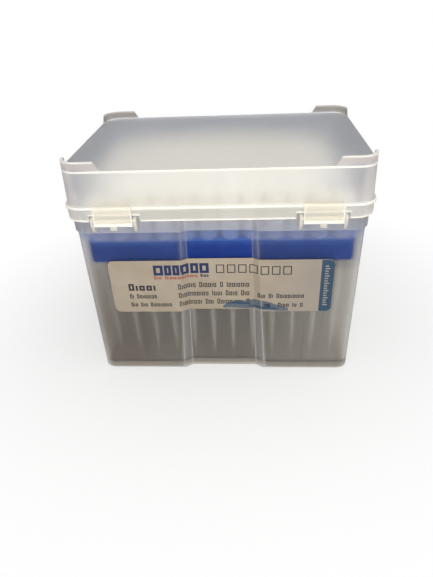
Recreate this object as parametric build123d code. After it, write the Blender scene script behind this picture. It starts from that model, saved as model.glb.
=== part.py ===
"""Hinged storage box for 96 filter pipette tips, with its rack plate, tips and label.

All sizes are in millimetres. +X runs along the long front wall, the front faces -Y, the lid
hinges are on the +Y side and +Z is up. The origin is the middle of the foot of the base.
"""

from build123d import *
import os
from math import radians, tan

os.makedirs("parts", exist_ok=True)

# ---------------------------------------------------------------- driving sizes

# Grid of tips: the usual spacing of a 96-well plate
PITCH = 9.0
COLUMNS = 12
ROWS = 8

# Base tub: a drafted box around the rack plate, with a thicker collar under the lid
RACK_TO_END_FOOT = 2.4
RACK_TO_LONG_FOOT = 2.6
FOOT_CORNER = 5.0
BASE_DRAFT = 0.55
BASE_WALL = 1.3
COLLAR_Z = 72.4
COLLAR_STEP = 0.8
RIM_Z = 82.4
FLOOR_Z = 4.0
FLOOR_THICKNESS = 1.5
FOOT_RING = 2.0
FOOT_EDGE = 0.6

# Finger recess down the middle of the front and back walls, wider and deeper at the foot
RECESS_FOOT_OUTER = 38.0
RECESS_FOOT_INNER = 30.4
RECESS_RIM_OUTER = 29.6
RECESS_RIM_INNER = 26.2
RECESS_FOOT_SETBACK = 2.6
RECESS_RIM_SETBACK = 1.3

# Fins inside the base that carry the rack plate
FIN_THICKNESS = 1.2
FIN_SEAT = 1.6
FIN_GUIDE_HEIGHT = 5.0
FIN_GUIDE_GAP = 0.3
LONG_WALL_FIN_X = 4.0 * PITCH
END_WALL_FIN_Y = 2.0 * PITCH

# Ears and cross bars on the collar, the same at the front and the back
EAR_X = 40.2
EAR_THICKNESS = 1.2
EAR_GAP = 0.3
BAR_RADIUS = 0.7
BAR_OUT = 2.2
BAR_Z = 78.5
EAR_NOSE_RADIUS = 1.5
TAB_WIDTH = 15.0

# Lid: a drafted cover with a skirt that drops over the collar
LID_GAP = 0.3
SKIRT_WALL = 1.1
SKIRT_DROP = 4.5
SHOULDER_STEP = 0.4
BEAD_OUT = 0.6
BEAD_HEIGHT = 1.6
BEAD_BEVEL = 0.45
LID_WALL = 1.3
LID_DRAFT = 1.7
LID_TOP_Z = 98.0
NOTCH_WIDTH = 20.0
NOTCH_RISE = 2.5

# Stacking ribs on the four corners of the lid
RIB_HEIGHT = 3.3
RIB_THICKNESS = 1.1
RIB_LONG_LEG = 16.0
RIB_SHORT_LEG = 9.5
RIB_END_SLOPE = 2.0

# Rear knuckles of the lid, clipped over the rear bars
KNUCKLE_FIT = 0.1
KNUCKLE_WALL = 1.2
KNUCKLE_MOUTH = 1.1
TAB_TOP_RISE = 1.9

# Front latch flaps, hung from a land on the bead
LAND_OUT = 0.3
FLAP_HINGE_GAP = 0.05
FLAP_BAR_GAP = 0.2
FLAP_WALL = 0.8
FLAP_ARM = 1.2
FLAP_ROUND = 0.7
FLAP_LIP_OUT = 0.3
FLAP_LIP_IN = 0.1
FLAP_LIP_HEIGHT = 1.1
FLAP_BELOW_BAR = 1.5
NUB_WIDTH = 2.6
NUB_DROP = 1.6
NUB_THICKNESS = 0.8

# Rack plate: a skirted plate with one hole for each tip
RACK_END_ROOM = 1.4
RACK_CORNER = 3.0
RACK_TOP_Z = 66.5
RACK_PLATE = 2.0
RACK_SKIRT = 9.5
RACK_WALL = 1.0
RACK_WEB = 0.8
RACK_WEB_DEPTH = 5.0
RACK_LONG_WEBS = (-2, 0, 2)
RACK_CROSS_WEBS = (-4, -2, 0, 2, 4)
HOLE_GAP = 0.4

# Tips: the collar stands on the rack plate, and the long cone hangs through it.
# There are 96 of them, so flats stand in for the rounds and the fine bore is left out.
COLLAR_RADIUS = 3.85
COLLAR_LENGTH = 19.0
BODY_RADIUS = 3.1
BODY_LENGTH = 58.5
END_RADIUS = 0.5
TIP_SIDES = 8

# Paper label on the front wall
LABEL_WIDTH = 94.0
LABEL_HEIGHT = 25.8
LABEL_CORNER = 2.5
LABEL_Z = 46.1
LABEL_THICKNESS = 0.15

# ---------------------------------------------------------------- derived sizes

BASE_SLOPE = tan(radians(BASE_DRAFT))
LID_SLOPE = tan(radians(LID_DRAFT))

# The rack skirt stands against the outer tips, and the foot of the base stands around the rack
tip_to_rack_edge = BODY_RADIUS + RACK_WALL
rack_width = (COLUMNS - 1) * PITCH + 2 * (tip_to_rack_edge + RACK_END_ROOM)
rack_depth = (ROWS - 1) * PITCH + 2 * tip_to_rack_edge
foot_width = rack_width + 2 * RACK_TO_END_FOOT
foot_depth = rack_depth + 2 * RACK_TO_LONG_FOOT


def base_half_depth(z):
    """Distance from the middle to the plain front or back wall of the base at a height."""
    return foot_depth / 2 + z * BASE_SLOPE


def base_half_width(z):
    """Distance from the middle to the plain end wall of the base at a height."""
    return foot_width / 2 + z * BASE_SLOPE


collar_width = 2 * (base_half_width(COLLAR_Z) + COLLAR_STEP)
collar_depth = 2 * (base_half_depth(COLLAR_Z) + COLLAR_STEP)
collar_corner = FOOT_CORNER + COLLAR_Z * BASE_SLOPE + COLLAR_STEP

skirt_inner_width = collar_width + 2 * LID_GAP
skirt_inner_depth = collar_depth + 2 * LID_GAP
skirt_inner_corner = collar_corner + LID_GAP
skirt_top_z = RIM_Z + LID_GAP
skirt_bottom_z = RIM_Z - SKIRT_DROP
bead_z = RIM_Z + BEAD_HEIGHT / 2
lid_width = skirt_inner_width + 2 * (SKIRT_WALL - SHOULDER_STEP)
lid_depth = skirt_inner_depth + 2 * (SKIRT_WALL - SHOULDER_STEP)
lid_corner = skirt_inner_corner + SKIRT_WALL - SHOULDER_STEP
skirt_half_depth = skirt_inner_depth / 2 + SKIRT_WALL
bead_half_depth = skirt_half_depth + BEAD_OUT
tab_top_z = bead_z + TAB_TOP_RISE - BEAD_HEIGHT / 4

bar_y = collar_depth / 2 + BAR_OUT
ear_inner_x = TAB_WIDTH / 2 + EAR_GAP
knuckle_radius = BAR_RADIUS + KNUCKLE_FIT + KNUCKLE_WALL

rack_bottom_z = RACK_TOP_Z - RACK_SKIRT
hole_radius = BODY_RADIUS + HOLE_GAP
tip_grid = GridLocations(PITCH, PITCH, COLUMNS, ROWS)

# ---------------------------------------------------------------- shared shapes


def drafted_block(width, depth, corner, low, high, draft=0.0):
    """Upright block with rounded corners. A positive draft narrows it towards the top."""
    outline = Plane.XY.offset(low) * RectangleRounded(width, depth, corner)
    return extrude(outline, amount=high - low, taper=draft)


def both_sides(shape):
    """A shape on the back wall together with its mirror image on the front wall."""
    return [shape, mirror(shape, about=Plane.XZ)]


def side_profile(lines, x_from, x_to):
    """Extrudes a closed outline in the Y-Z plane along X."""
    face = make_face(Plane.YZ.offset(x_from) * lines)
    return extrude(face, amount=x_to - x_from, dir=(1, 0, 0))


def recess_wedge(grow, setback_extra):
    """Wedge that widens and deepens towards the foot, on the back wall.

    grow widens it on each side and setback_extra moves its inner face inwards.
    """

    def section(z, outer, inner, setback):
        wall_y = base_half_depth(z)
        deep_y = wall_y - setback - setback_extra
        half_outer = outer / 2 + grow
        half_inner = inner / 2 + grow
        spread = (half_outer - half_inner) / setback
        half_open = half_inner + spread * (setback + setback_extra + COLLAR_STEP + 1)
        out_y = wall_y + COLLAR_STEP + 1
        corners = Polyline(
            (-half_open, out_y),
            (-half_inner, deep_y),
            (half_inner, deep_y),
            (half_open, out_y),
            close=True,
        )
        return Plane.XY.offset(z) * make_face(corners)

    low = section(-1, RECESS_FOOT_OUTER, RECESS_FOOT_INNER, RECESS_FOOT_SETBACK)
    high = section(RIM_Z + 1, RECESS_RIM_OUTER, RECESS_RIM_INNER, RECESS_RIM_SETBACK)
    return loft([low, high], ruled=True)


# ---------------------------------------------------------------- base


def base_outside():
    """Outside of the base: drafted body, collar band, and the recess through both."""
    body = drafted_block(foot_width, foot_depth, FOOT_CORNER, 0, RIM_Z, -BASE_DRAFT)
    body = chamfer(body.faces().sort_by(Axis.Z)[0].edges(), FOOT_EDGE)
    for wedge in both_sides(recess_wedge(0, 0)):
        body -= wedge
    collar = drafted_block(collar_width, collar_depth, collar_corner, COLLAR_Z, RIM_Z)
    for wedge in both_sides(Pos(0, COLLAR_STEP, 0) * recess_wedge(0, 0)):
        collar -= wedge
    return body + collar


def base_hollow():
    """Inside of the base above the floor, with the back of each recess left standing."""
    width = 2 * (base_half_width(FLOOR_Z) - BASE_WALL)
    depth = 2 * (base_half_depth(FLOOR_Z) - BASE_WALL)
    hollow = drafted_block(width, depth, FOOT_CORNER - BASE_WALL, FLOOR_Z, RIM_Z, -BASE_DRAFT)
    for wedge in both_sides(recess_wedge(BASE_WALL, BASE_WALL)):
        hollow -= wedge
    return hollow


def foot_pocket():
    """Pocket under the floor, which leaves a ring for the base to stand on."""
    width = foot_width - 2 * FOOT_RING
    depth = foot_depth - 2 * FOOT_RING
    pocket = drafted_block(width, depth, FOOT_CORNER - FOOT_RING, 0, FLOOR_Z - FLOOR_THICKNESS)
    for wedge in both_sides(recess_wedge(FOOT_RING, FOOT_RING)):
        pocket -= wedge
    return pocket


def rack_fin(wall, rack_edge):
    """Fin in the X-Z plane: a seat under the rack skirt and a guide beside it."""
    seat = rack_edge - FIN_SEAT
    guide = rack_edge + FIN_GUIDE_GAP
    outline = Polyline(
        (wall, FLOOR_Z - FLOOR_THICKNESS / 2),
        (seat, FLOOR_Z - FLOOR_THICKNESS / 2),
        (seat, rack_bottom_z),
        (guide, rack_bottom_z),
        (guide, rack_bottom_z + FIN_GUIDE_HEIGHT),
        (wall, rack_bottom_z + FIN_GUIDE_HEIGHT),
        close=True,
    )
    return extrude(Plane.XZ * make_face(outline), amount=FIN_THICKNESS / 2, both=True)


def rack_fins():
    """Eight fins: two on each end wall, and two on each long wall between tip columns."""
    end_fin = rack_fin(base_half_width(FLOOR_Z) - BASE_WALL / 2, rack_width / 2)
    long_fin = rack_fin(base_half_depth(FLOOR_Z) - BASE_WALL / 2, rack_depth / 2)
    fins = []
    for side in (-1, 1):
        for turn in (0, 180):
            fins.append(Rot(0, 0, turn) * Pos(0, side * END_WALL_FIN_Y, 0) * end_fin)
            fins.append(Rot(0, 0, turn + 90) * Pos(0, side * LONG_WALL_FIN_X, 0) * long_fin)
    return fins


def ear_and_bar():
    """One pair of quarter-round ears with the bar between them, on the back wall."""
    root_y = collar_depth / 2 - COLLAR_STEP
    top_z = BAR_Z + EAR_NOSE_RADIUS
    nose_y = bar_y + EAR_NOSE_RADIUS
    outline = (
        Polyline((root_y, COLLAR_Z), (root_y, top_z), (bar_y, top_z))
        + TangentArc((bar_y, top_z), (nose_y, BAR_Z), tangent=(1, 0))
        + TangentArc((nose_y, BAR_Z), (root_y, COLLAR_Z), tangent=(0, -1))
    )
    ear = side_profile(outline, ear_inner_x, ear_inner_x + EAR_THICKNESS)
    bar_length = 2 * ear_inner_x + EAR_THICKNESS
    bar = Pos(0, bar_y, BAR_Z) * Rot(0, 90, 0) * Cylinder(BAR_RADIUS, bar_length)
    return ear + mirror(ear, about=Plane.YZ) + bar


def build_base():
    tub = base_outside() - base_hollow() - foot_pocket()
    for fin in rack_fins():
        tub += fin
    for x in (-EAR_X, EAR_X):
        for keeper in both_sides(Pos(x, 0, 0) * ear_and_bar()):
            tub += keeper
    return tub


# ---------------------------------------------------------------- lid


def lid_shell():
    """Drafted cover with its rounded bead and the straight skirt below it."""
    cover = drafted_block(lid_width, lid_depth, lid_corner, bead_z, LID_TOP_Z, LID_DRAFT)
    skirt_width = skirt_inner_width + 2 * SKIRT_WALL
    skirt_corner = skirt_inner_corner + SKIRT_WALL
    skirt = drafted_block(
        skirt_width, 2 * skirt_half_depth, skirt_corner, skirt_bottom_z, bead_z
    )
    bead = drafted_block(
        skirt_width + 2 * BEAD_OUT,
        2 * bead_half_depth,
        skirt_corner + BEAD_OUT,
        bead_z - BEAD_HEIGHT / 2,
        bead_z + BEAD_HEIGHT / 2,
    )
    bead = chamfer(bead.faces().filter_by(Axis.Z).edges(), BEAD_BEVEL)
    return cover + skirt + bead


def lid_hollow():
    """Room inside the lid: above the rim of the base, and around its collar."""
    around = drafted_block(
        skirt_inner_width, skirt_inner_depth, skirt_inner_corner, skirt_bottom_z, skirt_top_z
    )
    above = drafted_block(
        lid_width - 2 * LID_WALL,
        lid_depth - 2 * LID_WALL,
        lid_corner - LID_WALL,
        skirt_top_z,
        LID_TOP_Z - LID_WALL,
        LID_DRAFT,
    )
    return around + above


def stacking_ribs():
    """Four corner ribs, flush with the lid walls, that hold the foot of the next box."""
    shrink = (LID_TOP_Z - bead_z) * LID_SLOPE
    width = lid_width - 2 * shrink
    depth = lid_depth - 2 * shrink
    corner = lid_corner - shrink
    top_z = LID_TOP_Z + RIB_HEIGHT
    low_z = LID_TOP_Z - LID_WALL / 2
    ring = drafted_block(width, depth, corner, LID_TOP_Z, top_z, LID_DRAFT)
    ring += drafted_block(width, depth, corner, low_z, LID_TOP_Z)
    ring -= drafted_block(
        width - 2 * RIB_THICKNESS, depth - 2 * RIB_THICKNESS, corner - RIB_THICKNESS, low_z, top_z
    )

    def gap(length, across, axis_plane):
        """Cut, wider at the top, that leaves sloped rib ends on one pair of walls."""
        outline = Polyline(
            (-length / 2, LID_TOP_Z),
            (length / 2, LID_TOP_Z),
            (length / 2 + RIB_END_SLOPE, top_z),
            (-length / 2 - RIB_END_SLOPE, top_z),
            close=True,
        )
        return extrude(axis_plane * make_face(outline), amount=across, both=True)

    ring -= gap(width - 2 * RIB_LONG_LEG, depth, Plane.XZ)
    ring -= gap(depth - 2 * RIB_SHORT_LEG, width, Plane.YZ)
    return ring


def knuckle():
    """Clip that turns on the rear bar, joined to the bead by a straight arm."""
    outer_y = bar_y + knuckle_radius
    root_y = skirt_half_depth - SKIRT_WALL / 2
    arm = (
        Polyline((root_y, BAR_Z + NOTCH_RISE), (root_y, tab_top_z))
        + Line((root_y, tab_top_z), (outer_y - FLAP_ROUND, tab_top_z))
        + TangentArc(
            (outer_y - FLAP_ROUND, tab_top_z), (outer_y, tab_top_z - FLAP_ROUND), tangent=(1, 0)
        )
        + Line((outer_y, tab_top_z - FLAP_ROUND), (outer_y, BAR_Z))
        + Line((outer_y, BAR_Z), (bar_y, BAR_Z))
        + Line((bar_y, BAR_Z), (root_y, BAR_Z + NOTCH_RISE))
    )
    body = side_profile(arm, -TAB_WIDTH / 2, TAB_WIDTH / 2)
    along_x = Pos(0, bar_y, BAR_Z) * Rot(0, 90, 0)
    body += along_x * Cylinder(knuckle_radius, TAB_WIDTH)
    body -= along_x * Cylinder(BAR_RADIUS + KNUCKLE_FIT, TAB_WIDTH)
    mouth = Pos(0, bar_y, BAR_Z) * Rot(45, 0, 0) * Pos(0, -knuckle_radius, 0)
    return body - mouth * Box(TAB_WIDTH, 2 * knuckle_radius, KNUCKLE_MOUTH)


def latch_land():
    """Flat pad on the front bead that each latch flap hangs from."""
    land_y = bead_half_depth + LAND_OUT
    root_y = skirt_half_depth - SKIRT_WALL / 2
    outline = Polyline(
        (-root_y, bead_z - BEAD_HEIGHT / 2),
        (-land_y, bead_z - BEAD_HEIGHT / 2),
        (-land_y, tab_top_z),
        (-root_y, tab_top_z),
        close=True,
    )
    return side_profile(outline, -TAB_WIDTH / 2, TAB_WIDTH / 2)


def build_lid():
    lid = lid_shell() - lid_hollow()
    lid += stacking_ribs()
    notch_y = skirt_half_depth - SKIRT_WALL / 2
    notch = Box(NOTCH_WIDTH, 2 * SKIRT_WALL, 2 * NOTCH_RISE)
    for x in (-EAR_X, EAR_X):
        for cut in both_sides(Pos(x, notch_y, skirt_bottom_z) * notch):
            lid -= cut
        lid += Pos(x, 0, 0) * latch_land()
        lid += Pos(x, 0, 0) * knuckle()
    return lid


# ---------------------------------------------------------------- latch flaps


def latch_flap():
    """Flap with a short arm at the land, a flat plate, a thick lip and a finger nub."""
    back_y = bead_half_depth + LAND_OUT + FLAP_HINGE_GAP
    inner_y = bar_y + BAR_RADIUS + FLAP_BAR_GAP
    front_y = inner_y + FLAP_WALL
    lip_y = front_y + FLAP_LIP_OUT
    low_z = BAR_Z - FLAP_BELOW_BAR
    lip_z = low_z + FLAP_LIP_HEIGHT
    arm_z = tab_top_z - FLAP_ARM
    half_lip = FLAP_LIP_HEIGHT / 2
    outline = (
        Line((-back_y, tab_top_z), (-front_y + FLAP_ROUND, tab_top_z))
        + TangentArc(
            (-front_y + FLAP_ROUND, tab_top_z), (-front_y, tab_top_z - FLAP_ROUND), tangent=(-1, 0)
        )
        + Polyline(
            (-front_y, tab_top_z - FLAP_ROUND),
            (-front_y, lip_z + FLAP_LIP_OUT),
            (-lip_y, lip_z),
            (-lip_y, low_z),
            (-inner_y + FLAP_LIP_IN, low_z),
            (-inner_y + FLAP_LIP_IN, low_z + half_lip),
            (-inner_y, lip_z),
            (-inner_y, arm_z),
            (-back_y, arm_z),
            (-back_y, tab_top_z),
        )
    )
    flap = side_profile(outline, -TAB_WIDTH / 2, TAB_WIDTH / 2)
    nub_y = -lip_y + NUB_THICKNESS / 2
    nub_z = low_z + half_lip - (NUB_DROP + half_lip) / 2
    nub = Pos(0, nub_y, nub_z) * Box(NUB_WIDTH, NUB_THICKNESS, NUB_DROP + half_lip)
    return flap + nub


# ---------------------------------------------------------------- rack plate and tips

def build_rack():
    """Skirted plate, with a hole for each tip and stiffening webs underneath."""
    under_z = RACK_TOP_Z - RACK_PLATE
    outline = RectangleRounded(rack_width, rack_depth, RACK_CORNER)
    hole = RegularPolygon(hole_radius, TIP_SIDES)
    pierced = outline - [place * hole for place in tip_grid]
    rack = extrude(Plane.XY.offset(under_z) * pierced, amount=RACK_PLATE)

    skirt_band = outline - offset(outline, -RACK_WALL)
    rack += extrude(Plane.XY.offset(rack_bottom_z) * skirt_band, amount=under_z - rack_bottom_z)

    web_z = under_z - RACK_WEB_DEPTH / 2
    long_web = Box(rack_width - RACK_WALL, RACK_WEB, RACK_WEB_DEPTH)
    cross_web = Box(RACK_WEB, rack_depth - RACK_WALL, RACK_WEB_DEPTH)
    rack += [Pos(0, gap * PITCH, web_z) * long_web for gap in RACK_LONG_WEBS]
    rack += [Pos(gap * PITCH, 0, web_z) * cross_web for gap in RACK_CROSS_WEBS]
    return rack


def flat_sided_cone(top_z, top_radius, end_z, end_radius):
    """Cone made of plane faces between two level polygons."""

    def corners(z, radius):
        start = Vector(radius, 0, z)
        return [start.rotate(Axis.Z, 360 * i / TIP_SIDES) for i in range(TIP_SIDES)]

    top = corners(top_z, top_radius)
    end = corners(end_z, end_radius)
    outlines = [(top[i - 1], top[i], end[i], end[i - 1]) for i in range(TIP_SIDES)]
    faces = [make_face(Polyline(*outline, close=True)).face() for outline in outlines + [top, end]]
    return Solid(Shell(faces))


def tip():
    """One tip about Z: its collar stands on the plate and its cone hangs below."""
    seat = Plane.XY.offset(RACK_TOP_Z)
    collar = extrude(seat * RegularPolygon(COLLAR_RADIUS, TIP_SIDES), amount=COLLAR_LENGTH)
    end_z = RACK_TOP_Z - BODY_LENGTH
    return collar + flat_sided_cone(RACK_TOP_Z, BODY_RADIUS, end_z, END_RADIUS)


def tip_column(index):
    """The eight tips of one column, as a multichannel pipette lifts them."""
    x = (index - (COLUMNS - 1) / 2) * PITCH
    one_tip = tip()
    return Compound([Pos(x, y, 0) * one_tip for y in row_places()])


def row_places():
    return [(row - (ROWS - 1) / 2) * PITCH for row in range(ROWS)]


# ---------------------------------------------------------------- label


def build_label():
    """Thin paper that follows the front wall down into the recess and out again."""
    outside = base_outside()
    window_outline = RectangleRounded(LABEL_WIDTH, LABEL_HEIGHT, LABEL_CORNER)
    window = extrude(Plane.XZ * Pos(0, LABEL_Z) * window_outline, amount=foot_depth)
    return ((Pos(0, -LABEL_THICKNESS, 0) * outside) & window) - outside


# ---------------------------------------------------------------- write the pieces

pieces = {
    "base_tub": build_base(),
    "lid": build_lid(),
    "latch_left": Pos(-EAR_X, 0, 0) * latch_flap(),
    "latch_right": Pos(EAR_X, 0, 0) * latch_flap(),
    "rack_plate": build_rack(),
    "label": build_label(),
}
for column in range(COLUMNS):
    pieces[f"tips_column_{column + 1:02d}"] = tip_column(column)

for name, shape in pieces.items():
    export_step(shape, f"parts/{name}.step")
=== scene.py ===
"""Looks of the hinged box of filter pipette tips, in the frame of its CAD model.

Metres, +X along the long front wall, the front faces -Y, +Z up. The moulded box keeps its CAD
shapes. The tips are rebuilt round, hollow and ribbed, with a filter in each, and the label gets
its generic print.
"""

import math

import bmesh
import bpy
from mathutils import Matrix, Vector
from mathutils.bvhtree import BVHTree

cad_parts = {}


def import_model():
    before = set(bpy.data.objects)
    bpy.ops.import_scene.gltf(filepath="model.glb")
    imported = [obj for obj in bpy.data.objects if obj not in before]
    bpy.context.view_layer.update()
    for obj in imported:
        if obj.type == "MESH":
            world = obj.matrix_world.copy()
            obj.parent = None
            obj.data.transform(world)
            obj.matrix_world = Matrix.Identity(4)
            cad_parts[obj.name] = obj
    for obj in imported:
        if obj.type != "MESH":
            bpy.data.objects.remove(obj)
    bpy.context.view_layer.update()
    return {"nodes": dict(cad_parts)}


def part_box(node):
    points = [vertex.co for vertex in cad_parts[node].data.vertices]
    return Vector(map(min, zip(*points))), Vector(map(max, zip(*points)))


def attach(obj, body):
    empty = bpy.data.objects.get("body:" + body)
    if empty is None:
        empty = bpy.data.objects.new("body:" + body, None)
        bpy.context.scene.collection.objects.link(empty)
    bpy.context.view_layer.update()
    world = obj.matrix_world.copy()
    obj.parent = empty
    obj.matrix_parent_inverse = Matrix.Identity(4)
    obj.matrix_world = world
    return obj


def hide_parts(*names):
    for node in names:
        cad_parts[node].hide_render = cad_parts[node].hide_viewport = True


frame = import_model()

MM = 0.001


# ---------------------------------------------------------------- places on the box

# Base tub: the collar under the lid, and the finger recess in the front and the back
COLLAR_Z = 72.4 * MM
COLLAR_Y = 39.8 * MM
RIM_Z = 82.4 * MM
RECESS_HALF = 21.0 * MM
RECESS_BACK_HALF = 12.8 * MM
# Each fold of the recess, as its distance from the middle at the foot and at the rim
RECESS_FOLDS = ((19.0 * MM, 14.8 * MM), (15.2 * MM, 13.1 * MM))
# Share of the normal along X on the slanted sides of the recess
RECESS_SLANT = 0.72

# Lid: the bead, the skirt under it with its notches, and the flat top
BEAD_Z = 83.2 * MM
SKIRT_Z = 77.9 * MM
NOTCH_Z = 80.4 * MM
NOTCH_X = 40.2 * MM
NOTCH_HALF = 10.2 * MM
LID_TOP = 98.0 * MM

# Latch flaps and rack plate
LATCH_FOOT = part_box("latch_left")[0].z
LATCH_SIDE = 7.0 * MM
RACK_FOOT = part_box("rack_plate")[0].z
PLATE_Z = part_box("rack_plate")[1].z


# ---------------------------------------------------------------- shader helpers


class Shader:
    """A small wrapper that adds and links nodes of one material or world."""

    def __init__(self, owner):
        owner.use_nodes = True
        self.tree = owner.node_tree
        self.tree.nodes.clear()

    def add(self, kind, **settings):
        node = self.tree.nodes.new(kind)
        for key, value in settings.items():
            setattr(node, key, value)
        return node

    def link(self, source, target):
        self.tree.links.new(source, target)

    def feed(self, socket, value):
        """Links a socket to another one, or gives it a plain value."""
        if isinstance(value, bpy.types.NodeSocket):
            self.link(value, socket)
        else:
            socket.default_value = value

    def set(self, node, **values):
        """Feeds the sockets of a node by name, with _ for a space."""
        for key, value in values.items():
            self.feed(node.inputs[key.replace("_", " ")], value)
        return node

    def output(self, node, kind="ShaderNodeOutputMaterial"):
        self.link(node.outputs[0], self.add(kind).inputs["Surface"])

    def place(self):
        return self.add("ShaderNodeTexCoord").outputs["Object"]

    def split(self, vector):
        node = self.add("ShaderNodeSeparateXYZ")
        self.link(vector, node.inputs[0])
        return node.outputs

    def along(self, axis):
        """Where a point lies along an axis of the piece, in metres."""
        return self.split(self.place())[axis]

    def away(self, axis):
        """How far a point lies from the middle of the box along an axis."""
        return self.size(self.along(axis))

    def facing(self, axis):
        """How much the surface faces along an axis of the piece, from -1 to 1."""
        return self.split(self.add("ShaderNodeTexCoord").outputs["Normal"])[axis]

    def noise(self, scale, detail=2.0, stretch=(1, 1, 1), distortion=0.0):
        """Noise in metres: scale is how many features there are in a metre."""
        mapping = self.set(self.add("ShaderNodeMapping"), Vector=self.place(), Scale=stretch)
        node = self.add("ShaderNodeTexNoise")
        self.set(node, Vector=mapping.outputs[0], Scale=scale, Detail=detail)
        self.set(node, Distortion=distortion)
        return node.outputs["Fac"]

    def ramp(self, value, low, high, to_low=0.0, to_high=1.0, smooth=True):
        """Runs from to_low to to_high while the value runs from low to high."""
        node = self.add("ShaderNodeMapRange")
        if smooth:
            node.interpolation_type = "SMOOTHSTEP"
        self.set(node, Value=value, From_Min=low, From_Max=high, To_Min=to_low, To_Max=to_high)
        return node.outputs["Result"]

    def maths(self, operation, *values):
        node = self.add("ShaderNodeMath", operation=operation)
        for socket, value in zip(node.inputs, values):
            self.feed(socket, value)
        return node.outputs[0]

    def size(self, value):
        """A number without its sign."""
        return self.maths("ABSOLUTE", value)

    def times(self, first, *others):
        """Product of masks or numbers."""
        for other in others:
            first = self.maths("MULTIPLY", first, other)
        return first

    def most(self, first, *others):
        """The largest of some masks or numbers."""
        for other in others:
            first = self.maths("MAXIMUM", first, other)
        return first

    def near(self, value, middle, half, soft):
        """1 where a value is within half of the middle, fading out over soft."""
        off = self.size(self.maths("SUBTRACT", value, middle))
        return self.ramp(off, half, half + soft, 1.0, 0.0)

    def lerp(self, share, a, b):
        """Number a where share is 0 and b where it is 1."""
        node = self.add("ShaderNodeMix", data_type="FLOAT")
        for socket, value in zip((node.inputs[0], *node.inputs[2:4]), (share, a, b)):
            self.feed(socket, value)
        return node.outputs[0]

    def mix(self, share, a, b):
        """Colour a where share is 0 and b where it is 1."""
        node = self.add("ShaderNodeMix", data_type="RGBA")
        for socket, value in zip((node.inputs[0], *node.inputs[6:8]), (share, a, b)):
            self.feed(socket, (*value, 1.0) if isinstance(value, tuple) else value)
        return node.outputs[2]

    def bump(self, height, distance, strength):
        node = self.add("ShaderNodeBump")
        self.set(node, Height=height, Distance=distance, Strength=strength)
        return node.outputs["Normal"]

    def blend(self, share, a, b):
        """Shader a where share is 0 and b where it is 1."""
        node = self.add("ShaderNodeMixShader")
        self.feed(node.inputs[0], share)
        self.link(a.outputs[0], node.inputs[1])
        self.link(b.outputs[0], node.inputs[2])
        return node


def srgb(red, green, blue):
    """Linear colour of a colour picked as 0 to 255."""
    return tuple(
        c / 12.92 if c <= 0.04045 else ((c + 0.055) / 1.055) ** 2.4
        for c in (red / 255, green / 255, blue / 255)
    )


# ---------------------------------------------------------------- zones of the moulded plastic
#
# Each is a mask from 0 to 1 over a place that is thicker, milkier or clearer, or where light or
# shade is painted into the colour.


def at_rack(s):
    """The band where the rack plate stands close to the wall and shows clearly."""
    return s.ramp(s.along("Z"), RACK_FOOT - 4 * MM, RACK_FOOT - 1 * MM)


def recess_back(s):
    """The flat back of the finger recess over the rack: thin, and the clearest place of all."""
    return s.times(at_rack(s), s.near(s.along("X"), 0.0, RECESS_BACK_HALF, 0.5 * MM))


def over_plate(s):
    """The wall over the rack plate, painted with the plate's blue as painted reflected light, and
    less so in the recess.
    """
    plate_blue_bounce = s.ramp(s.along("Z"), PLATE_Z + 0.2 * MM, PLATE_Z + 4.8 * MM, 0.0, 0.66)
    return s.times(plate_blue_bounce, s.lerp(recess_back(s), 1.0, 0.62))


def collar(s):
    """The thicker band under the lid."""
    return s.ramp(s.along("Z"), COLLAR_Z - 0.2 * MM, COLLAR_Z + 0.2 * MM)


def collar_ends_shade(s):
    """The ends of the collar, with no tips close behind the wall, painted darker as painted
    shade.
    """
    return s.times(collar(s), s.ramp(s.away("X"), 42 * MM, 56 * MM, 0.0, 0.7))


def recess_sides(s):
    """The slanted sides of the finger recess, front and back, fainter by the rack."""
    slanted = s.near(s.size(s.facing("X")), RECESS_SLANT, 0.2, 0.08)
    in_recess = s.near(s.along("X"), 0.0, RECESS_HALF, 0.5 * MM)
    return s.times(slanted, in_recess, s.lerp(at_rack(s), 1.0, 0.4))


def base_highlight_lines(s):
    """Folds of the finger recess and the step under the collar, painted pale as painted
    highlights.
    """
    folds = 0.0
    for foot_x, rim_x in RECESS_FOLDS:
        fold_x = s.ramp(s.along("Z"), 0.0, RIM_Z, foot_x, rim_x, smooth=False)
        line = s.near(s.maths("SUBTRACT", s.away("X"), fold_x), 0.0, 0.15 * MM, 0.3 * MM)
        folds = s.most(folds, line)
    on_wall = s.ramp(s.away("Y"), COLLAR_Y - 7 * MM, COLLAR_Y - 6 * MM)
    folds = s.times(folds, on_wall, s.lerp(at_rack(s), 0.36, 0.14))
    step = s.near(s.along("Z"), COLLAR_Z, 0.15 * MM, 0.25 * MM)
    return s.most(folds, s.times(step, 0.45))


def painted_light_right_end(s):
    """The body is a little clearer towards its right end, and painted lighter there as painted
    light from that side.
    """
    return s.ramp(s.along("X"), 0.0, 52 * MM, 0.0, 0.8)


def painted_shade_left_end(s):
    """The body is painted darker low down at its left end, as painted shade."""
    left = s.ramp(s.along("X"), -52 * MM, -20 * MM, 0.75, 0.0)
    return s.times(left, s.ramp(s.along("Z"), 20 * MM, 48 * MM, 1.0, 0.3))


def foot(s):
    """The solid edge that the box stands on, milkier and painted darker as painted shade."""
    return s.ramp(s.along("Z"), 0.8 * MM, 1.6 * MM, 1.0, 0.0)


def foot_band_shade(s):
    """The raised floor and the ring under it, seen through the wall, painted darker as painted
    shade.
    """
    return s.ramp(s.along("Z"), 4.2 * MM, 5.4 * MM, 1.0, 0.0)


def ears(s):
    """The ears and their bars, which stand out from the collar."""
    return s.ramp(s.away("Y"), COLLAR_Y + 0.1 * MM, COLLAR_Y + 0.5 * MM)


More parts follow.
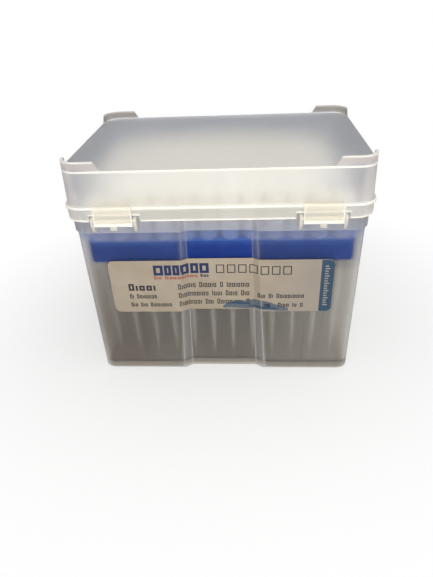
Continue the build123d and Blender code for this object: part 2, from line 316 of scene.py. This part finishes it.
def milky_lit_middle(s):
    """The cover is milkier and painted lighter in the middle and towards the front, as a painted
    highlight, and clearer at its ends.
    """
    along = s.maths("POWER", s.maths("DIVIDE", s.away("X"), 56 * MM), 4.0)
    across = s.maths("DIVIDE", s.maths("ADD", s.along("Y"), 34 * MM), 62 * MM)
    off = s.maths("SQRT", s.maths("ADD", along, s.times(across, across)))
    off = s.maths("ADD", off, s.times(s.noise(22.0), 0.12))
    return s.ramp(off, 0.35, 1.2, 1.0, 0.0)


def cover_foot(s):
    """The foot of the cover, lighter towards the bead."""
    return s.ramp(s.along("Z"), BEAD_Z + 1 * MM, BEAD_Z + 10 * MM, 0.6, 0.0)


def cover_corners(s):
    """The rounded corners of the cover and its end walls."""
    return s.ramp(s.size(s.facing("X")), 0.12, 0.45, 0.0, 0.5)


def over_tips(s):
    """The foot of the cover, where the tips stand right behind the wall."""
    low = s.near(s.along("Z"), BEAD_Z + 2 * MM, 1 * MM, 4 * MM)
    return s.times(low, s.near(s.along("X"), 0.0, 40 * MM, 14 * MM))


def top_face(s):
    """1 on the flat top of the cover."""
    high = s.ramp(s.along("Z"), LID_TOP - 1.6 * MM, LID_TOP - 1.0 * MM)
    return s.times(high, s.ramp(s.size(s.facing("Z")), 0.8, 0.95))


def shaded_top_edges(s):
    """The top is painted darker towards its back and its ends, as painted shade."""
    back = s.ramp(s.along("Y"), -22 * MM, 42 * MM, 0.0, 0.95)
    ends = s.ramp(s.away("X"), 38 * MM, 55 * MM, 0.0, 0.9)
    return s.times(top_face(s), s.most(back, ends))


def lit_top_middle(s):
    """The milky field in the front half of the top, with an uneven edge, painted lighter as a
    painted highlight.
    """
    along = s.near(s.along("X"), 0.0, 30 * MM, 20 * MM)
    uneven_y = s.maths("ADD", s.along("Y"), s.times(s.noise(30.0), 16 * MM))
    return s.times(top_face(s), along, s.ramp(uneven_y, -8 * MM, 34 * MM, 0.5, 0.0))


def to_back(s):
    """0 over the front stacking ribs and 1 over the back ones."""
    return s.ramp(s.along("Y"), -10 * MM, 20 * MM)


def rib_walls(s):
    """The four stacking ribs."""
    return s.ramp(s.along("Z"), LID_TOP + 0.1 * MM, LID_TOP + 0.8 * MM)


def shaded_back_ribs(s):
    """The two stacking ribs at the back, over clearer plastic, painted darker as painted shade.
    """
    return s.times(rib_walls(s), to_back(s))


def skirt(s):
    """The thin skirt under the bead, clearer at its ends."""
    low = s.ramp(s.along("Z"), BEAD_Z - 1.2 * MM, BEAD_Z - 0.8 * MM, 1.0, 0.0)
    return s.times(low, s.ramp(s.away("X"), 42 * MM, 57 * MM, 1.0, 0.4))


def lid_highlight_lines(s):
    """Upper rim, stacking ribs, bead and skirt edge, painted pale as painted highlights where the
    light gathers.
    """
    upright = s.ramp(s.size(s.facing("Z")), 0.5, 0.8, 1.0, 0.0)
    rim = s.times(s.near(s.along("Z"), LID_TOP - 0.45 * MM, 0.25 * MM, 0.3 * MM), upright)
    ribs = s.ramp(s.along("Z"), LID_TOP + 2.6 * MM, LID_TOP + 3.0 * MM, 0.0, 0.8)
    ribs = s.times(ribs, s.lerp(to_back(s), 1.0, 0.5))
    bead = s.near(s.along("Z"), BEAD_Z + 0.3 * MM, 0.3 * MM, 0.3 * MM)
    in_notch = s.near(s.away("X"), NOTCH_X, NOTCH_HALF, 0.1 * MM)
    over_edge = s.maths("SUBTRACT", s.along("Z"), s.lerp(in_notch, SKIRT_Z, NOTCH_Z))
    return s.most(rim, ribs, bead, s.near(over_edge, 0.1 * MM, 0.25 * MM, 0.2 * MM))


def latch_highlight_lines(s):
    """The lip at the foot of the flap, and its two upright edges, painted pale as painted
    highlights.
    """
    lip = s.near(s.along("Z"), LATCH_FOOT + 2.15 * MM, 0.4 * MM, 0.25 * MM)
    off = s.size(s.maths("SUBTRACT", s.away("X"), NOTCH_X))
    return s.most(lip, s.ramp(off, LATCH_SIDE, LATCH_SIDE + 0.3 * MM))


# ---------------------------------------------------------------- materials

PLASTIC_IOR = 1.25
DENSE_IOR = 1.49
# Pale colour of the painted highlight lines on the lid and the latches
MILK_HIGHLIGHT = srgb(250, 247, 238)
GREY = (0.4, 0.4, 0.4)
FLOW_WHITE = (1.0, 1.0, 0.98)
# Painted blue light from the rack plate on the tips just over it
RACK_BOUNCE_BLUE = srgb(128, 164, 226)
TIP_IN_SHADE = srgb(198, 197, 193)
# Height of the band at the top of the rack's sides that is painted lighter as painted light
LIT_BROW = 3.5 * MM


def new_material(name):
    """A material with an empty node tree, and the wrapper of that tree."""
    material = bpy.data.materials.new(name)
    return material, Shader(material)


def frosted(name, plain, zones, shade_tint):
    """Moulded polypropylene: rough see-through plastic with some white in it.

    plain is (tint, clearness, roughness). Each zone is (mask, tint, clearness, roughness), where
    mask(shader) runs from 0 to 1. The light of the lamps passes straight through, tinted.
    """
    material, s = new_material(name)
    cloud = s.ramp(s.noise(28.0, 3.0), 0.3, 0.7)
    flow = s.noise(90.0, stretch=(1, 1, 0.12), distortion=0.4)
    grain = s.noise(2600.0)
    scuff = s.noise(260.0, stretch=(1, 0.3, 0.3))
    tone, clear, rough = plain
    for mask, zone_tone, zone_clear, zone_rough in zones:
        share = mask(s)
        tone = s.mix(share, tone, zone_tone)
        clear = s.lerp(share, clear, zone_clear)
        rough = s.lerp(share, rough, zone_rough)
    tone = s.mix(s.times(cloud, 0.06), tone, GREY)
    tone = s.mix(s.ramp(flow, 0.6, 0.8, 0.0, 0.12), tone, FLOW_WHITE)
    rough = s.maths("ADD", rough, s.times(cloud, 0.04))
    rough = s.maths("ADD", rough, s.ramp(scuff, 0.45, 0.75, 0.0, 0.03))
    body = s.set(
        s.add("ShaderNodeBsdfPrincipled"),
        Base_Color=tone,
        Roughness=rough,
        IOR=PLASTIC_IOR,
        Transmission_Weight=clear,
        Normal=s.bump(grain, 0.01 * MM, 0.03),
    )
    lamp_path = s.set(s.add("ShaderNodeBsdfTransparent"), Color=(*shade_tint, 1.0))
    is_lamp_ray = s.add("ShaderNodeLightPath").outputs["Is Shadow Ray"]
    s.output(s.blend(is_lamp_ray, body, lamp_path))
    return material


def dense_plastic(name, dark, light, lit, roughness):
    """Opaque coloured plastic with faint flow marks and a fine grain.

    Its upper face, between the tips, and a band at the top of its sides are painted lighter:
    painted light from above.
    """
    material, s = new_material(name)
    cloud = s.noise(45.0, 3.0, distortion=0.6)
    grain = s.noise(3000.0)
    # Painted light: the upper face and the top of the sides turn to the lit colour
    upper = s.ramp(s.facing("Z"), 0.8, 0.95, 0.0, 0.95)
    lit_brow = s.ramp(s.along("Z"), PLATE_Z - LIT_BROW, PLATE_Z, 0.0, 0.2)
    tone = s.mix(s.ramp(cloud, 0.3, 0.7), dark, light)
    body = s.set(
        s.add("ShaderNodeBsdfPrincipled"),
        Base_Color=s.mix(s.most(upper, lit_brow), tone, lit),
        Roughness=s.ramp(grain, 0.3, 0.7, roughness - 0.05, roughness + 0.06),
        IOR=DENSE_IOR,
        Specular_IOR_Level=0.22,
        Normal=s.bump(grain, 0.03 * MM, 0.4),
    )
    s.output(body)
    return material


def tip_material(name, colour, glow, share):
    """Thin natural plastic: a share of the light that meets it passes on, scattered.

    It is painted darker below the rack plate as painted shade, and just over the plate it is
    painted with some of the plate's blue as painted reflected light.
    """
    material, s = new_material(name)
    cloud = s.noise(160.0, stretch=(1, 1, 0.2))
    grain = s.noise(3000.0, 1.0)
    below = s.ramp(s.along("Z"), PLATE_Z - 12 * MM, PLATE_Z - 1 * MM, 0.85, 0.0)
    plate_bounce = s.near(s.along("Z"), PLATE_Z + 1.5 * MM, 1.5 * MM, 5.5 * MM)
    tone = s.mix(s.ramp(cloud, 0.3, 0.7), colour, glow)
    tone = s.mix(below, tone, TIP_IN_SHADE)
    tone = s.mix(s.times(plate_bounce, 0.68), tone, RACK_BOUNCE_BLUE)
    body = s.set(
        s.add("ShaderNodeBsdfPrincipled"),
        Base_Color=tone,
        Roughness=s.ramp(grain, 0.3, 0.7, 0.24, 0.38),
        IOR=DENSE_IOR,
        Normal=s.bump(grain, 0.02 * MM, 0.3),
    )
    through = s.set(s.add("ShaderNodeBsdfTranslucent"), Color=tone)
    s.output(s.blend(share, body, through))
    return material


def porous(name, dark, light):
    """Sintered filter: white and grainy."""
    material, s = new_material(name)
    grain = s.noise(5200.0, 4.0)
    body = s.set(
        s.add("ShaderNodeBsdfPrincipled"),
        Base_Color=s.mix(s.ramp(grain, 0.35, 0.65), dark, light),
        Roughness=0.9,
        Normal=s.bump(grain, 0.15 * MM, 0.8),
    )
    s.output(body)
    return material


def paper(name, dark, light, shaded_right_end, fibres):
    """Coated label paper with a faint fibre, warm mottling and a right end painted greyer as
    painted shade.
    """
    material, s = new_material(name)
    cloud = s.noise(70.0, 3.0, distortion=0.5)
    fibre = s.noise(2400.0, 4.0, stretch=(0.25, 1, 1), distortion=1.5)
    tone = s.mix(s.ramp(cloud, 0.3, 0.7), dark, light)
    # Painted shade: greyer towards the right end
    tone = s.mix(s.ramp(s.along("X"), 12 * MM, 40 * MM, 0.0, 0.75), tone, shaded_right_end)
    tone = s.mix(s.ramp(fibre, 0.55, 0.75, 0.0, 0.25), tone, fibres)
    body = s.set(
        s.add("ShaderNodeBsdfPrincipled"),
        Base_Color=tone,
        Roughness=s.ramp(fibre, 0.3, 0.7, 0.48, 0.62),
        Normal=s.bump(fibre, 0.03 * MM, 0.4),
    )
    s.output(body)
    return material


def ink(name, colour, light):
    """Printing ink with the paper's tooth showing through a little."""
    material, s = new_material(name)
    speck = s.noise(1800.0, 3.0)
    body = s.set(
        s.add("ShaderNodeBsdfPrincipled"),
        Base_Color=s.mix(s.ramp(speck, 0.5, 0.8), colour, light),
        Roughness=s.ramp(speck, 0.3, 0.7, 0.42, 0.56),
    )
    s.output(body)
    return material


BASE_PLASTIC = frosted(
    "frosted_base",
    (srgb(219, 216, 212), 0.985, 0.4),
    [
        (painted_light_right_end, srgb(236, 234, 229), 0.95, 0.4),
        (painted_shade_left_end, srgb(196, 190, 183), 0.98, 0.4),
        (at_rack, srgb(218, 218, 220), 0.992, 0.36),
        (recess_back, srgb(204, 214, 230), 1.0, 0.29),
        (over_plate, srgb(146, 158, 198), 0.7, 0.3),
        (collar, srgb(205, 206, 212), 0.7, 0.44),
        (collar_ends_shade, srgb(182, 182, 187), 0.74, 0.44),
        (recess_sides, srgb(204, 203, 202), 0.88, 0.34),
        (foot_band_shade, srgb(166, 160, 152), 0.96, 0.36),
        (base_highlight_lines, srgb(236, 234, 228), 0.5, 0.36),
        (foot, srgb(178, 172, 162), 0.84, 0.36),
        (ears, srgb(238, 233, 220), 0.35, 0.4),
    ],
    shade_tint=(0.82, 0.81, 0.8),
)
LID_PLASTIC = frosted(
    "frosted_lid",
    (srgb(206, 208, 214), 0.8, 0.42),
    [
        (cover_foot, srgb(232, 228, 224), 0.5, 0.44),
        (cover_corners, srgb(232, 226, 221), 0.5, 0.44),
        (milky_lit_middle, srgb(236, 234, 228), 0.4, 0.5),
        (shaded_top_edges, srgb(188, 190, 195), 0.7, 0.62),
        (lit_top_middle, srgb(236, 232, 226), 0.4, 0.62),
        (rib_walls, srgb(226, 220, 216), 0.66, 0.4),
        (shaded_back_ribs, srgb(160, 155, 150), 0.9, 0.38),
        (over_tips, srgb(238, 235, 226), 0.56, 0.38),
        (skirt, srgb(228, 226, 219), 0.6, 0.38),
        (lid_highlight_lines, MILK_HIGHLIGHT, 0.12, 0.4),
    ],
    shade_tint=(0.86, 0.85, 0.83),
)
LATCH_PLASTIC = frosted(
    "frosted_latch",
    (srgb(244, 241, 230), 0.68, 0.34),
    [(latch_highlight_lines, MILK_HIGHLIGHT, 0.12, 0.38)],
    shade_tint=(0.85, 0.84, 0.82),
)
RACK_PLASTIC = dense_plastic(
    "rack_blue", srgb(0, 54, 138), srgb(2, 64, 152), srgb(112, 158, 238), 0.5
)
TIP_PLASTIC = tip_material("tip_plastic", srgb(228, 228, 225), srgb(243, 243, 240), 0.45)
FILTER_WHITE = porous("filter_white", srgb(214, 212, 204), srgb(246, 245, 240))
LABEL_PAPER = paper(
    "label_paper",
    srgb(157, 144, 125),
    srgb(167, 154, 136),
    shaded_right_end=srgb(146, 138, 128),
    fibres=srgb(146, 133, 115),
)
INK_NAVY = ink("ink_navy", srgb(12, 28, 70), srgb(34, 52, 96))
INK_RED = ink("ink_red", srgb(150, 60, 48), srgb(172, 96, 82))
INK_BLACK = ink("ink_black", srgb(26, 25, 28), srgb(56, 54, 54))
INK_BLUE = ink("ink_blue", srgb(30, 60, 84), srgb(52, 84, 104))
INK_SKY = ink("ink_sky", srgb(78, 90, 100), srgb(118, 120, 121))

NODE_MATERIALS = {
    "base_tub": BASE_PLASTIC,
    "lid": LID_PLASTIC,
    "latch_left": LATCH_PLASTIC,
    "latch_right": LATCH_PLASTIC,
    "rack_plate": RACK_PLASTIC,
    "label": LABEL_PAPER,
}
for node_name, node_material in NODE_MATERIALS.items():
    cad_object = frame["nodes"][node_name]
    cad_object.data.materials.clear()
    cad_object.data.materials.append(node_material)


# ---------------------------------------------------------------- mesh helpers

SHARP_OVER = math.radians(35)


def new_object(name, bm, materials):
    """Turns a bmesh into an object of the scene."""
    mesh = bpy.data.meshes.new(name)
    bm.to_mesh(mesh)
    bm.free()
    for material in materials:
        mesh.materials.append(material)
    made = bpy.data.objects.new(name, mesh)
    bpy.context.scene.collection.objects.link(made)
    return made


def new_piece(name, bm, materials, body):
    """Turns a bmesh into a piece that rides on a body."""
    bmesh.ops.recalc_face_normals(bm, faces=bm.faces)
    piece = new_object(name, bm, materials)
    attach(piece, body)
    return piece


def lathe(bm, centre, stations, segments, closed):
    """Rings round a vertical axis. A station is (height, radius, rib depth).

    A rib takes the outer half of every second pair of segments.
    """
    rings = []
    for height, radius, rib in stations:
        ring = []
        for i in range(segments):
            angle = 2 * math.pi * i / segments
            r = radius - (rib if i % 4 in (2, 3) else 0.0)
            x = centre[0] + r * math.cos(angle)
            y = centre[1] + r * math.sin(angle)
            ring.append(bm.verts.new((x, y, height)))
        rings.append(ring)
    pairs = list(zip(rings, rings[1:]))
    if closed:
        pairs.append((rings[-1], rings[0]))
    for below, above in pairs:
        for i in range(segments):
            j = (i + 1) % segments
            bm.faces.new((below[i], below[j], above[j], above[i]))
    if not closed:
        bm.faces.new(list(reversed(rings[0])))
        bm.faces.new(rings[-1])


def smooth(piece):
    """Smooth shading that keeps the sharp edges."""
    for polygon in piece.data.polygons:
        polygon.use_smooth = True
    piece.data.set_sharp_from_angle(angle=SHARP_OVER)


# ---------------------------------------------------------------- tips and their filters

PITCH = 9.0 * MM
COLUMNS = 12
ROWS = 8
TIP_SEGMENTS = 48
FILTER_SEGMENTS = 24
tip_low, tip_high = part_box("tips_column_01")
TIP_END = tip_low.z
TIP_TOP = tip_high.z
COLLAR_RADIUS = (tip_high.x - tip_low.x) / 2
WALL = 0.45 * MM
BODY_RADIUS = 3.1 * MM
END_RADIUS = 0.5 * MM
BORE_END = 0.26 * MM
KNEE_RADIUS = 1.45 * MM
KNEE_SHARE = 0.36
RIB = 0.45 * MM
BAND = 3.2 * MM
FILTER_LOW = PLATE_Z + 2.2 * MM
FILTER_HIGH = PLATE_Z + 8.2 * MM
FILTER_RADIUS = BODY_RADIUS - 0.32 * MM
FILTER_EDGE = 0.25 * MM


def tip_stations():
    """Outside from the nozzle up to the rim, then the bore back down."""
    knee_z = TIP_END + KNEE_SHARE * (PLATE_Z - TIP_END)
    outside = [
        (TIP_END, END_RADIUS, 0),
        (knee_z, KNEE_RADIUS, 0),
        (PLATE_Z - 0.6 * MM, BODY_RADIUS - 0.12 * MM, 0),
        (PLATE_Z, BODY_RADIUS - 0.05 * MM, 0),
        (PLATE_Z + 0.02 * MM, COLLAR_RADIUS - 0.15 * MM, 0),
        (PLATE_Z + 0.3 * MM, COLLAR_RADIUS, 0),
        (PLATE_Z + 1.2 * MM, COLLAR_RADIUS, 0),
        (PLATE_Z + 1.5 * MM, COLLAR_RADIUS - 0.05 * MM, RIB),
        (TIP_TOP - BAND - 0.4 * MM, COLLAR_RADIUS - 0.02 * MM, RIB),
        (TIP_TOP - BAND, COLLAR_RADIUS, 0),
        (TIP_TOP - 0.5 * MM, COLLAR_RADIUS, 0),
        (TIP_TOP - 0.12 * MM, COLLAR_RADIUS - 0.1 * MM, 0),
        (TIP_TOP, COLLAR_RADIUS - 0.26 * MM, 0),
    ]
    inside = [
        (TIP_TOP, COLLAR_RADIUS - 0.62 * MM, 0),
        (TIP_TOP - 0.5 * MM, COLLAR_RADIUS - 0.78 * MM, 0),
        (PLATE_Z + 1.0 * MM, BODY_RADIUS - 0.3 * MM, 0),
        (PLATE_Z - 2.0 * MM, BODY_RADIUS - WALL - 0.1 * MM, 0),
        (knee_z, KNEE_RADIUS - WALL, 0),
        (TIP_END, BORE_END, 0),
    ]
    return outside + inside


def filter_stations():
    """A plug with bevelled edges."""
    return [
        (FILTER_LOW, FILTER_RADIUS - FILTER_EDGE, 0),
        (FILTER_LOW + FILTER_EDGE, FILTER_RADIUS, 0),
        (FILTER_HIGH - FILTER_EDGE, FILTER_RADIUS, 0),
        (FILTER_HIGH, FILTER_RADIUS - FILTER_EDGE, 0),
    ]


for column in range(1, COLUMNS + 1):
    node_name = f"tips_column_{column:02d}"
    low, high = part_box(node_name)
    x = (low.x + high.x) / 2
    tips, filters = bmesh.new(), bmesh.new()
    for row in range(ROWS):
        centre = (x, (row - (ROWS - 1) / 2) * PITCH)
        lathe(tips, centre, tip_stations(), TIP_SEGMENTS, closed=True)
        lathe(filters, centre, filter_stations(), FILTER_SEGMENTS, closed=False)
    piece = new_piece(f"tips_{column:02d}", tips, [TIP_PLASTIC], "base")
    smooth(piece)
    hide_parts(node_name)
    piece = new_piece(f"filters_{column:02d}", filters, [FILTER_WHITE], "base")
    smooth(piece)


# ---------------------------------------------------------------- print on the label
#
# Places of the print are in millimetres: x from the middle of the box, heights from its foot.

label_low, label_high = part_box("label")
label_mesh = bmesh.new()
label_mesh.from_mesh(frame["nodes"]["label"].data)
label_tree = BVHTree.FromBMesh(label_mesh)
RAY_RUN_UP = 10 * MM
INK_OUT = 0.03 * MM
INK_IN = 0.03 * MM
PRINT_STEP = 0.5 * MM
PRINT_ROW = 1.0
CURVED_ROWS = 3


def label_face(x, z):
    """Front face of the label at a place of the print."""
    start = Vector((x * MM, label_low.y - RAY_RUN_UP, z * MM))
    return label_tree.ray_cast(start, Vector((0, 1, 0)))[0]


def patch(bm, index, left, right, bottom, top, layer=1):
    """Closed print patch. bottom and top are heights or functions of x."""
    bottom_at = bottom if callable(bottom) else lambda _: bottom
    top_at = top if callable(top) else lambda _: top
    steps = max(1, math.ceil((right - left) * MM / PRINT_STEP))
    rows = CURVED_ROWS
    if not (callable(top) or callable(bottom)):
        rows = max(1, math.ceil((top - bottom) / PRINT_ROW))
    front, back = [], []
    for i in range(steps + 1):
        x = left + (right - left) * i / steps
        front_line, back_line = [], []
        for j in range(rows + 1):
            z = bottom_at(x) + (top_at(x) - bottom_at(x)) * j / rows
            place = label_face(x, z)
            front_line.append(bm.verts.new(place - Vector((0, INK_OUT * layer, 0))))
            back_line.append(bm.verts.new(place + Vector((0, INK_IN, 0))))
        front.append(front_line)
        back.append(back_line)

    def quad(*corners):
        bm.faces.new(corners).material_index = index

    for i in range(steps):
        for j in range(rows):
            quad(front[i][j], front[i + 1][j], front[i + 1][j + 1], front[i][j + 1])
            quad(back[i][j], back[i][j + 1], back[i + 1][j + 1], back[i + 1][j])
        quad(front[i][0], back[i][0], back[i + 1][0], front[i + 1][0])
        quad(front[i][rows], front[i + 1][rows], back[i + 1][rows], back[i][rows])
    for j in range(rows):
        quad(front[0][j], front[0][j + 1], back[0][j + 1], back[0][j])
        quad(front[steps][j], back[steps][j], back[steps][j + 1], front[steps][j + 1])


INKS = [INK_NAVY, INK_RED, INK_BLACK, INK_BLUE, INK_SKY, LABEL_PAPER]
NAVY, RED, BLACK, BLUE, SKY, PAPER = range(len(INKS))
MARK_GAP = 0.28
WORD_GAP = 1.1
LOW_MARK = 0.76
SLACK = 0.01


def open_frame(bm, index, left, right, bottom, top, line):
    """Outline of a rectangle."""
    patch(bm, index, left, right, top - line, top)
    patch(bm, index, left, right, bottom, bottom + line)
    patch(bm, index, left, left + line, bottom + line, top - line)
    patch(bm, index, right - line, right, bottom + line, top - line)


def words(bm, index, left, right, base, tall, wide, line, counts):
    """A greeked line of print: groups of plain bars and small frames.

    The first of each group is a little taller. What would pass the right end is left out.
    """
    x = left
    n = 0
    for count in counts:
        for place in range(count):
            if x + wide > right + SLACK:
                return
            top = base + tall * (1.0 if place == 0 else LOW_MARK)
            if n % 3 == 1:
                patch(bm, index, x, x + line, base, top)
                x += line + wide * MARK_GAP
            else:
                open_frame(bm, index, x, x + wide, base, top, line)
                x += wide * (1 + MARK_GAP)
            n += 1
        x += wide * WORD_GAP


HILL_POWER = 0.7
RIPPLE_LENGTH = 2.3


def hill(left, right, foot_z, rise, ripple):
    """Edge of a wave between left and right, as a function of x."""
    return lambda x: (
        foot_z
        + rise * max(0.0, math.sin((x - left) / (right - left) * math.pi)) ** HILL_POWER
        + ripple * math.sin(x / RIPPLE_LENGTH)
    )


print_mesh = bmesh.new()

# Bold field at the top left, and the thin lines below it
BOLD_FRAMES = (
    (-28.0, -23.9),
    (-23.4, -20.4),
    (-19.9, -17.0),
    (-16.6, -13.2),
    (-12.6, -9.2),
    (-8.7, -4.8),
)
for left, right in BOLD_FRAMES:
    open_frame(print_mesh, NAVY, left, right, 51.9, 56.8, 1.25)
words(print_mesh, RED, -28.0, -9.4, 50.0, 1.5, 1.1, 0.36, (3, 12))
words(print_mesh, NAVY, -8.5, -4.8, 50.0, 1.5, 0.8, 0.34, (5,))

# Open frames beside it: how many, the ends of the first one, and their pitch
THIN_FRAMES = 7
THIN_LEFT, THIN_RIGHT = -1.8, 1.7
THIN_PITCH = 4.65
for i in range(THIN_FRAMES):
    shift = THIN_PITCH * i
    open_frame(print_mesh, BLACK, THIN_LEFT + shift, THIN_RIGHT + shift, 51.9, 56.0, 0.42)

# Bold short line, and the small lines under it
words(print_mesh, BLACK, -39.6, -24.8, 44.3, 3.4, 2.4, 0.85, (5, 2))
words(print_mesh, BLACK, -39.6, -27.6, 40.3, 2.2, 1.0, 0.36, (2, 9))
words(print_mesh, BLACK, -39.6, -21.4, 36.0, 2.1, 1.0, 0.36, (3, 3, 9, 3))

# Three lines in the middle
words(print_mesh, BLACK, -18.2, 13.4, 44.8, 2.6, 1.2, 0.4, (6, 6, 1, 9, 4))
words(print_mesh, BLACK, -18.2, 13.4, 40.4, 2.6, 1.2, 0.4, (10, 4, 4, 8))
words(print_mesh, BLACK, -18.2, 12.6, 36.0, 2.6, 1.2, 0.4, (8, 3, 9, 6))

# Two lines at the right, the lower one with a block before it
words(print_mesh, BLACK, 15.6, 36.6, 40.2, 2.2, 1.1, 0.38, (3, 2, 11))
patch(print_mesh, NAVY, 18.5, 20.9, 35.4, 37.3)
words(print_mesh, BLACK, 24.4, 36.2, 35.6, 2.1, 1.1, 0.38, (4, 2, 2))

# Wave at the foot: ink, left, right, layer, then foot and head, each as height, rise and ripple
WAVES = (
    (SKY, 0.6, 28.8, 1, (33.7, 0.0, 0.2), (34.7, 3.7, 0.4)),
    (BLUE, 2.0, 13.0, 2, (35.6, 0.3, 0.2), (35.9, 1.2, 0.3)),
    (BLUE, 11.5, 25.0, 2, (34.4, 0.2, 0.1), (34.7, 0.9, 0.2)),
)
for index, left, right, layer, foot_line, head_line in WAVES:
    wave_foot = hill(left, right, *foot_line)
    wave_head = hill(left, right, *head_line)
    patch(print_mesh, index, left, right, wave_foot, wave_head, layer)

# Upright strip at the right end, inside the label's round corners, with light cells down it
LABEL_CORNER = 2.5
LABEL_MARGIN = 0.15
STRIP_LEFT = 41.7
STRIP_RIGHT = 46.9
CELLS = 17
CELL_LEFT = 43.2
CELL_RIGHT = 44.6
LONG_CELL_RIGHT = 45.2
CELL_FOOT = 36.4
CELL_HEAD = 36.95
CELL_PITCH = 1.2


def strip_cut(x):
    """How far the round corner of the label reaches in from its edge at x."""
    inside = max(0.0, x - (label_high.x / MM - LABEL_CORNER))
    return LABEL_CORNER - math.sqrt(max(0.0, LABEL_CORNER**2 - inside**2))


def strip_foot(x):
    return label_low.z / MM + LABEL_MARGIN + strip_cut(x)


def strip_head(x):
    return label_high.z / MM - LABEL_MARGIN - strip_cut(x)


patch(print_mesh, BLUE, STRIP_LEFT, STRIP_RIGHT, strip_foot, strip_head)
for i in range(CELLS):
    shift = CELL_PITCH * i
    cell_right = CELL_RIGHT if i % 3 else LONG_CELL_RIGHT
    patch(print_mesh, PAPER, CELL_LEFT, cell_right, CELL_FOOT + shift, CELL_HEAD + shift, layer=2)

new_piece("label_print", print_mesh, INKS, "base")
label_mesh.free()


# ---------------------------------------------------------------- floor, light and camera

WHITE = (1.0, 1.0, 1.0)
FLOOR_GREY = (0.62, 0.61, 0.6)
FLOOR_HALF = 6.0
# The floor turns into the backdrop between these distances from the middle of the box
FLOOR_FADE = (0.075, 0.18)
FLOOR_GLOW_AT_BOX = 0.35
ROOM_LOW = (0.42, 0.42, 0.43)
ROOM_HIGH = (0.52, 0.52, 0.51)

# Camera in front of the box, a little to the right, looking down
CAMERA_PLACE = (0.012084, -0.212133, 0.156686)
CAMERA_PITCH = 0.570
CAMERA_YAW = -0.080
CAMERA_ROLL = -0.049
CAMERA_LENS = 30.31
SENSOR_WIDTH = 36.0


def white_to_viewer(s):
    """1 for the rays of the camera, of reflections and of see-through plastic."""
    path = s.add("ShaderNodeLightPath").outputs
    return s.most(path["Is Camera Ray"], path["Is Glossy Ray"], path["Is Transmission Ray"])


def floor():
    """Pale floor that keeps the shadow of the box and runs out into the white backdrop."""
    material, s = new_material("floor")
    seen = white_to_viewer(s)
    plain = s.set(s.add("ShaderNodeBsdfDiffuse"), Color=s.mix(seen, FLOOR_GREY, WHITE))
    backdrop = s.set(s.add("ShaderNodeEmission"), Color=(*WHITE, 1.0), Strength=1.0)
    away = s.add("ShaderNodeVectorMath", operation="LENGTH")
    s.link(s.place(), away.inputs[0])
    far = s.ramp(away.outputs["Value"], *FLOOR_FADE, FLOOR_GLOW_AT_BOX, 1.0)
    s.output(s.blend(s.times(far, seen), plain, backdrop))
    bm = bmesh.new()
    bmesh.ops.create_grid(bm, x_segments=1, y_segments=1, size=FLOOR_HALF)
    new_object("floor", bm, [material])


def world():
    """White backdrop, and a soft room that is brighter above than at the sides."""
    sky = bpy.data.worlds.new("room")
    bpy.context.scene.world = sky
    s = Shader(sky)
    up = s.split(s.add("ShaderNodeTexCoord").outputs["Generated"])["Z"]
    room = s.mix(s.ramp(up, 0.1, 0.9), ROOM_LOW, ROOM_HIGH)
    background = s.add("ShaderNodeBackground")
    s.set(background, Color=s.mix(white_to_viewer(s), room, WHITE), Strength=1.0)
    s.output(background, "ShaderNodeOutputWorld")


def softbox(name, place, aim, size, power):
    """Square area lamp that points at a place and isn't seen through the plastic."""
    light = bpy.data.lights.new(name, "AREA")
    light.size = size
    light.energy = power
    lamp = bpy.data.objects.new(name, light)
    lamp.location = place
    lamp.rotation_euler = (Vector(aim) - Vector(place)).to_track_quat("-Z", "Y").to_euler()
    lamp.visible_transmission = False
    bpy.context.scene.collection.objects.link(lamp)


def camera():
    """Camera that is aimed by its pitch, yaw and roll."""
    pitch, yaw, roll = CAMERA_PITCH, CAMERA_YAW, CAMERA_ROLL
    forward = Vector(
        (math.sin(yaw) * math.cos(pitch), math.cos(yaw) * math.cos(pitch), -math.sin(pitch))
    )
    level = Vector((math.cos(yaw), -math.sin(yaw), 0.0))
    above = level.cross(forward)
    right = math.cos(roll) * level + math.sin(roll) * above
    up = -math.sin(roll) * level + math.cos(roll) * above
    data = bpy.data.cameras.new("camera")
    data.sensor_fit = "AUTO"
    data.sensor_width = SENSOR_WIDTH
    data.lens = CAMERA_LENS
    data.clip_start = 0.01
    data.clip_end = 50.0
    turn = Matrix((right, up, -forward)).transposed().to_4x4()
    viewer = bpy.data.objects.new("camera", data)
    viewer.matrix_world = Matrix.Translation(CAMERA_PLACE) @ turn
    bpy.context.scene.collection.objects.link(viewer)
    bpy.context.scene.camera = viewer


floor()
world()
softbox("key", (0.08, -0.8, 0.44), (0, 0, 0.06), 0.55, 5.5)
softbox("top", (0.2, -0.2, 1.2), (0, 0, 0), 0.8, 1.6)
camera()
bpy.context.scene.view_settings.view_transform = "Standard"
